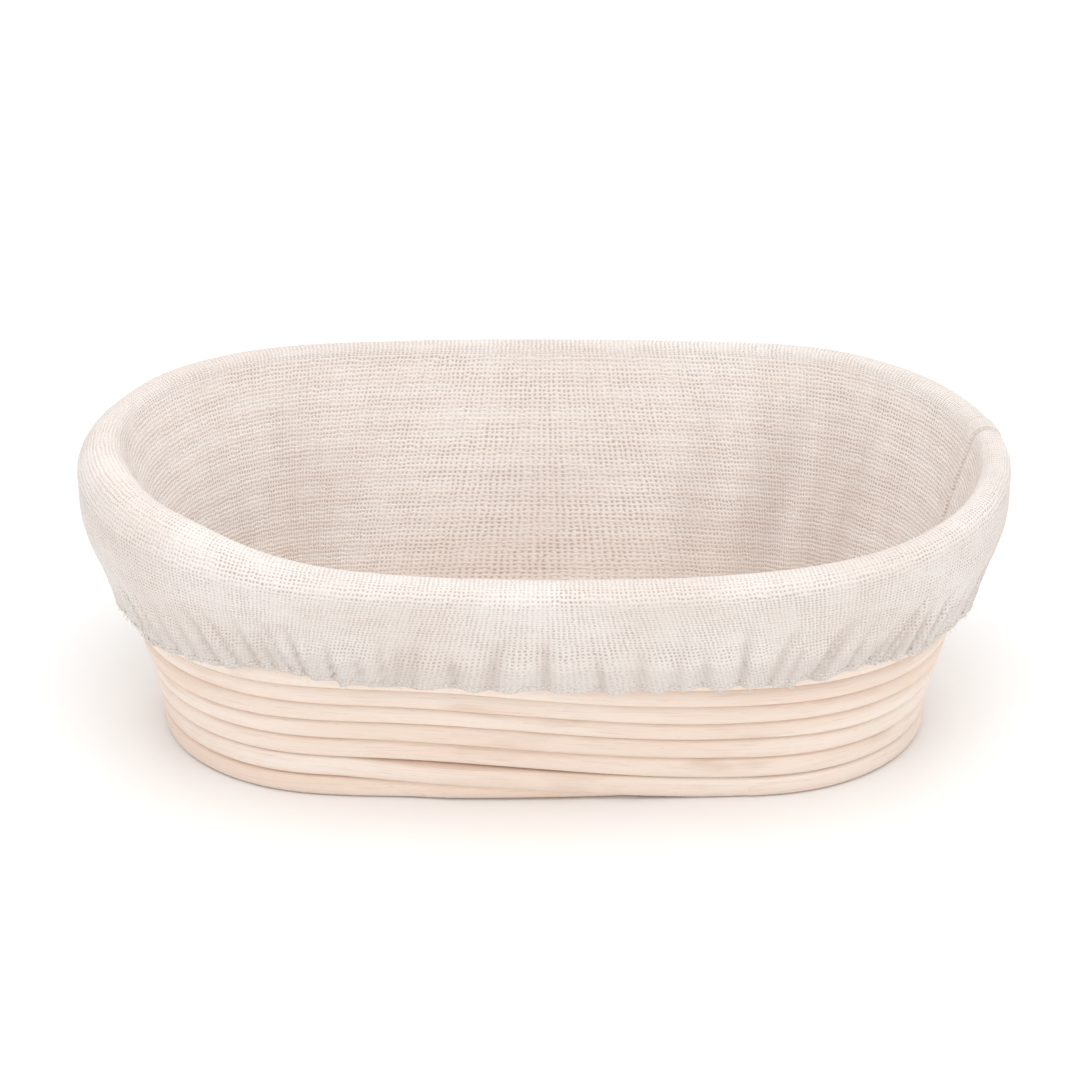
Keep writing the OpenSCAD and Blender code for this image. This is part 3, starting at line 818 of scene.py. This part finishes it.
def two_layers(name, grid, normals, thick, material, attributes):
    """A closed sheet of a grid of points: two layers, with faces round all four edges."""
    n, m = grid.shape[:2]
    points = np.concatenate([(grid + normals * thick / 2).reshape(-1, 3),
                             (grid - normals * thick / 2).reshape(-1, 3)])
    i, j = np.meshgrid(np.arange(n - 1), np.arange(m - 1), indexing="ij")
    a, b, c, d = (k.ravel() for k in (i * m + j, (i + 1) * m + j, (i + 1) * m + j + 1, i * m + j + 1))
    low = n * m
    faces = [np.stack([a, b, c, d], 1), np.stack([a, d, c, b], 1) + low]
    k = np.arange(n - 1) * m
    faces.append(np.stack([k, k + low, k + m + low, k + m], 1))
    k = k + m - 1
    faces.append(np.stack([k, k + m, k + m + low, k + low], 1))
    k = np.arange(m - 1)
    faces.append(np.stack([k, k + 1, k + 1 + low, k + low], 1))
    k = k + (n - 1) * m
    faces.append(np.stack([k, k + low, k + 1 + low, k + 1], 1))
    doubled = {key: np.concatenate([v.reshape((-1,) + v.shape[2:])] * 2) for key, v in attributes.items()}
    return add_mesh(name, points, np.concatenate(faces).tolist(), material, doubled)


# Columns lie closer together at the side seam, on both sides of it.
columns_q = np.concatenate([np.linspace(SEAM_EDGE, 2.2, 6), np.linspace(3.4, STRIP_L - 10.5, 440),
                            np.linspace(STRIP_L - 9.6, STRIP_L - SEAM_EDGE, 24)])
# A column well away from the seam, to measure along the cloth's section.
PLAIN_COLUMN = 200
columns_a = direction_at(columns_q)
columns_a[-1] = min(columns_a[-1], SEAM_AT + TAU)
base_grid, seam_shift, closed, cane_near, crease_shade, down_at = section_points(columns_q, columns_a)
side_grid = base_grid + grid_normals(base_grid) * seam_shift[..., None]
side_normals = grid_normals(side_grid)
run_s = run_along(side_grid[PLAIN_COLUMN])
weave = np.stack([np.broadcast_to(columns_q[:, None], closed.shape), np.broadcast_to(run_s, closed.shape),
                  np.zeros_like(closed)], 2) * MM
# Its look carries how closed the cloth is, the cane behind it, and its painted crease shade.
side_cloth = two_layers("side_cloth", side_grid, side_normals, CLOTH_T, cloth_look,
                        {"weave": weave, "look": np.stack([closed, cane_near, crease_shade], 2)})
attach(side_cloth, "liner")
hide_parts("liner_side_cloth")


def on_cloth(q, row):
    """Places and normals on the side cloth's face, at places along it and rows of its grid."""
    i = np.interp(np.mod(q, STRIP_L), columns_q, np.arange(len(columns_q)))

    def pick(grid):
        i0, j0 = np.floor(i).astype(int), np.floor(row).astype(int)
        i0, j0 = np.minimum(i0, grid.shape[0] - 2), np.minimum(j0, grid.shape[1] - 2)
        s, t = (i - i0)[:, None], (row - j0)[:, None]
        return ((grid[i0, j0] * (1 - s) + grid[i0 + 1, j0] * s) * (1 - t)
                + (grid[i0, j0 + 1] * (1 - s) + grid[i0 + 1, j0 + 1] * s) * t)

    normals = unit(pick(side_normals))
    return pick(side_grid) + normals * CLOTH_T / 2, normals


def row_at(down):
    """The row of the grid at a distance down the skirt's outside."""
    rows = np.arange(down_at.shape[1])
    outside = (down_at[PLAIN_COLUMN] > 0) & (rows < down_at.shape[1] - len(HEM_FOLD))
    return np.interp(down, down_at[PLAIN_COLUMN][outside], rows[outside])


# ---------------------------------------------------------------- stitches, elastic and floor cloth
def stitches(name, starts, ends, normals, radius, nodes_for, lift=0.6):
    """A row of separate stitches. Each arches over the cloth, and its ends dip into it."""
    sides, steps = 6, 6
    share = np.linspace(0, 1, steps)
    arch = np.sin(math.pi * share) * radius * (1 + lift) - radius * 0.6
    thick = radius * (0.62 + 0.38 * np.sin(math.pi * share))
    points, faces, at = [], [], []
    for k, (p, q, n) in enumerate(zip(starts, ends, normals)):
        centre = p + (q - p) * share[:, None] + n * arch[:, None]
        way = unit(np.gradient(centre, axis=0))
        right = unit(np.cross(way, n))
        up = np.cross(right, way)
        ring, _ = sweep(centre, right, up, np.repeat(thick[:, None], 4, 1), sides, 1.0)
        ring = ring[:, ::-1].reshape(-1, 3)
        first = k * (steps * sides + 2 * (sides + 1))
        own = tube_faces(steps, sides, first)
        flat = domed(ring, sides, 0.5, own, first)
        points.append(flat)
        faces.extend(own)
        along = np.concatenate([np.repeat(share, sides), np.full(sides + 1, 0), np.full(sides + 1, 1)])
        at.append(np.stack([along * np.linalg.norm(q - p), np.zeros_like(along), np.full_like(along, k)], 1))
    o = add_mesh(name, np.concatenate(points), faces, thread_look,
                 {"thread_at": np.concatenate(at) * MM})
    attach(o, "liner")
    if nodes_for:
        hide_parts(*nodes_for)
    return o


# The hem's zigzag: its step along the hem, and its two rows' heights over the fold.
ZIG_STEP, ZIG_HIGH, ZIG_LOW = 1.05, 3.1, 1.4
zig_q = np.arange(0.8, STRIP_L - 0.8, ZIG_STEP)
zig_rng = np.random.default_rng(5)
zig_row = np.where(np.arange(len(zig_q)) % 2, ZIG_HIGH, ZIG_LOW)
zig_down = SKIRT_L - zig_row + zig_rng.uniform(-0.15, 0.15, len(zig_q))
zig, zig_n = on_cloth(zig_q, row_at(zig_down))
hem_stitches = stitches("hem_stitches", zig[:-1], zig[1:], unit(zig_n[:-1] + zig_n[1:]), 0.16,
                        ["hem_thread"], 0.35)

seam_rows = np.arange(6, row_at(SKIRT_L - 1), 1.0)
fine_rows = np.linspace(seam_rows[0], seam_rows[-1], 800)
left_edge, left_n = on_cloth(np.full_like(fine_rows, SEAM_EDGE), fine_rows)
right_edge, right_n = on_cloth(np.full_like(fine_rows, STRIP_L - SEAM_EDGE_IN), fine_rows)
seam_line, seam_n = (left_edge + right_edge) / 2, unit(left_n + right_n)
seam_run = run_along(seam_line)


def along_line(line, run, distance):
    return np.stack([np.interp(distance, run, line[:, k]) for k in range(3)], 1)


SEAM_STEP, SEAM_STITCH_L = 2.3, 1.7
stitch_from = np.arange(0.5, seam_run[-1] - 2.2, SEAM_STEP)
seam_stitches = stitches("side_seam_stitches", along_line(seam_line, seam_run, stitch_from),
                         along_line(seam_line, seam_run, stitch_from + SEAM_STITCH_L),
                         unit(along_line(seam_n, seam_run, stitch_from + SEAM_STITCH_L / 2)), 0.12,
                         ["side_seam_thread"], 0.2)


def make_elastic():
    """The braided elastic in the hem's casing. It follows the gathers of the hem."""
    count = 420
    q = np.linspace(0, STRIP_L, count, endpoint=False)
    a = direction_at(q)
    face, bevel, half_w, flat = 0.22, 0.1, 2.0, 1.85
    section = [(face, -flat), (face, 0), (face, flat), (bevel, half_w), (-bevel, half_w),
               (-face, flat), (-face, 0), (-face, -flat), (-bevel, -half_w), (bevel, -half_w)]
    points, at = [], []
    for off, up in section:
        down = np.full((count, 1), SKIRT_L - HEM_L / 2 - up)
        out, high, _ = skirt_spot(q, a, down, (CLOTH_OFF + HEM_OFF) / 2 + off + 0 * down)
        level = np.clip((high - BED_Z) / WALL_PITCH, 0, WALL_TURNS)
        x, y = plan_point(level, a[:, None], out)
        points.append(np.concatenate([x, y, high], 1))
        at.append(np.stack([q, np.full(count, up), np.zeros(count)], 1))
    points = np.stack(points, 1).reshape(-1, 3)
    o = add_mesh("hem_elastic_band", points, tube_faces(count, len(section), closed=True), elastic_look,
                 {"thread_at": np.stack(at, 1).reshape(-1, 3) * MM})
    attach(o, "liner")
    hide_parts("hem_elastic")
    return o


elastic_band = make_elastic()

# Middle of the floor cloth, as in the CAD, where the cloth is a little thicker than here.
CAD_CLOTH_T, CLOTH_GAP, FLOOR_GAP = 0.6, 0.6, 0.05
FLOOR_Z = 2 * BED_Z + CLOTH_GAP + CAD_CLOTH_T + FLOOR_GAP + CAD_CLOTH_T / 2


def make_floor_cloth():
    """The oval floor of the liner, which lies over the base's canes with its edge sewn to the side."""
    count, rings = 220, 34
    a = np.linspace(0, TAU, count, endpoint=False)
    out, _, lean = on_wall(a, np.full((count, 1), 1.0))
    edge = (out - (CANE_R + CLOTH_OFF) * np.cos(lean))[:, 0] - 1.6
    x, y = plan_point(0, a, edge)
    share = np.linspace(0, 1, rings + 1)[1:] ** 0.9
    gx, gy = x[None] * share[:, None], y[None] * share[:, None]
    half_w = 39.0
    inward = (1 - share)[:, None] * half_w + 0 * gx
    ridge = np.cos(TAU * (inward + 2.0) / CANE_D)
    z = FLOOR_Z - 0.16 * (0.5 - 0.5 * ridge) * smooth_step(inward / 4)
    z = z + 0.18 * noise_line(gx + 0.4 * gy + 300, 22, 61) + 0.1 * noise_line(gy - 0.3 * gx + 300, 9, 62)
    edge_mm = 1.3  # of the edge in each degree, about
    run = np.degrees(a)[None] * edge_mm
    z = z + 0.16 * noise_line(run, 7, 63, 360 * edge_mm) * np.exp(-((inward / 5) ** 2))
    top = np.stack([gx, gy, z], 2).reshape(-1, 3)
    middle = np.array([[0, 0, FLOOR_Z]])
    half = np.array([[0, 0, CLOTH_T / 2]])
    points = np.concatenate([top + half, middle + half, top - half, middle - half])
    low = len(top) + 1
    faces = []
    for k in range(count):
        q = (k + 1) % count
        faces.append((low - 1, q, k))
        faces.append((low - 1 + low, k + low, q + low))
        for r in range(rings - 1):
            i, j, m, n = r * count + k, r * count + q, (r + 1) * count + q, (r + 1) * count + k
            faces.append((i, j, m, n))
            faces.append((i + low, n + low, m + low, j + low))
        i, j = (rings - 1) * count + k, (rings - 1) * count + q
        faces.append((i, j, j + low, i + low))
    weave_at = points * MM
    weave_at[:, 2] = 0.5
    near = 0.5 + 0.5 * ridge
    rim = np.exp(-((inward / 3.0) ** 2))
    # The third entry paints shade round the floor's edge, in the corner by the wall.
    look = np.stack([0.5 * rim, 0.7 * near, 0.25 * rim], 2).reshape(-1, 3)
    look = np.concatenate([look, [[0, 0.5, 0]]] * 2)
    o = add_mesh("floor_cloth", points, faces, floor_look, {"weave": weave_at, "look": look})
    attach(o, "liner")
    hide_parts("liner_floor_cloth")
    area = 0.5 * abs(float(np.sum(x * np.roll(y, -1) - y * np.roll(x, -1)))) * MM * MM
    return o, a, edge, area, (float(y.max() - y.min()) * MM, float(x.max() - x.min()) * MM)


floor_cloth, floor_a, floor_edge, floor_area, floor_flat = make_floor_cloth()
line_x, line_y = plan_point(0, floor_a, floor_edge - 0.9)
floor_line = np.stack([line_x, line_y, np.full_like(line_x, FLOOR_Z + CLOTH_T / 2)], 1)
floor_line = np.concatenate([floor_line, floor_line[:1]])
floor_run = run_along(floor_line)
FLOOR_STITCHES, FLOOR_STITCH_L = 172, 2.0
stitch_from = np.linspace(0, floor_run[-1], FLOOR_STITCHES, endpoint=False)
floor_stitches = stitches("floor_seam_stitches", along_line(floor_line, floor_run, stitch_from),
                          along_line(floor_line, floor_run, stitch_from + FLOOR_STITCH_L),
                          np.repeat([[0, 0, 1.0]], len(stitch_from), 0), 0.19,
                          ["floor_seam_thread"])

# Loose fibre ends along the hem's fold.
FIBRES = 420
fray_rng = np.random.default_rng(13)
fray_q = fray_rng.uniform(1, STRIP_L - 1, FIBRES)
fray_from, fray_n = on_cloth(fray_q, row_at(SKIRT_L - fray_rng.uniform(0.1, 1.3, FIBRES)))
fray_way = fray_n * 0.5 + fray_rng.normal(0, 0.5, (FIBRES, 3)) - np.array([0, 0, 0.9])
fray_to = fray_from + unit(fray_way) * fray_rng.uniform(0.5, 1.5, (FIBRES, 1))
hem_fray = stitches("hem_fray", fray_from, fray_to, fray_n, 0.06, [], 3.0)

# ---------------------------------------------------------------- camera, light and floor
camera = bpy.data.cameras.new("camera")
camera.lens, camera.sensor_width = 277.8, 36
camera.clip_end = 50
camera_object = bpy.data.objects.new("camera", camera)
bpy.context.scene.collection.objects.link(camera_object)
azimuth, elevation, distance = math.radians(0.313), math.radians(27.8), 2.261
back = Vector((math.sin(azimuth) * math.cos(elevation), -math.cos(azimuth) * math.cos(elevation),
               math.sin(elevation)))
look_at = Vector((-0.00016, 0, 0.0519))
camera_object.location = look_at + back * distance
camera_object.rotation_mode = "QUATERNION"
camera_object.rotation_quaternion = (-back).to_track_quat("-Z", "Y")
bpy.context.scene.camera = camera_object


LAMPS_AIM = Vector((0, 0, 0.04))


def add_lamp(name, place, size, power, colour=(1, 1, 1)):
    lamp = bpy.data.lights.new(name, "AREA")
    lamp.shape, lamp.size, lamp.size_y = "RECTANGLE", size[0], size[1]
    lamp.energy, lamp.color = power, colour
    o = bpy.data.objects.new(name, lamp)
    bpy.context.scene.collection.objects.link(o)
    o.location = place
    o.rotation_mode = "QUATERNION"
    o.rotation_quaternion = (LAMPS_AIM - Vector(place)).to_track_quat("-Z", "Y")


add_lamp("key", (0.05, -0.5, 1.6), (1.2, 1.2), 12.5, (1.0, 0.99, 0.985))
add_lamp("fill", (0.2, -1.9, 0.3), (2.4, 0.5), 1.2)
add_lamp("back_light", (0.0, 1.2, 1.1), (1.2, 0.7), 3.6)

world = bpy.data.worlds.new("studio")
world.use_nodes = True
world.node_tree.nodes["Background"].inputs["Color"].default_value = (1.0, 0.995, 0.992, 1)
world.node_tree.nodes["Background"].inputs["Strength"].default_value = 0.785
bpy.context.scene.world = world
bpy.context.scene.view_settings.view_transform = "Standard"

floor_paint, tree, shader = new_material("studio_floor")
wash = noise(tree, node(tree, "ShaderNodeTexCoord").outputs["Object"], (1.5, 1.5, 1.5), 1)
pale = mixed(tree, wash, (0.95, 0.948, 0.945, 1), (0.97, 0.968, 0.965, 1))
tree.links.new(pale, shader.inputs["Base Color"])
shader.inputs["Roughness"].default_value = 0.9
half_side, floor_top = 4000, -0.05
corners = [(x * half_side, y * half_side, floor_top) for x, y in ((-1, -1), (1, -1), (1, 1), (-1, 1))]
add_mesh("studio_floor", corners, [(0, 1, 2, 3)], floor_paint, smooth=False)
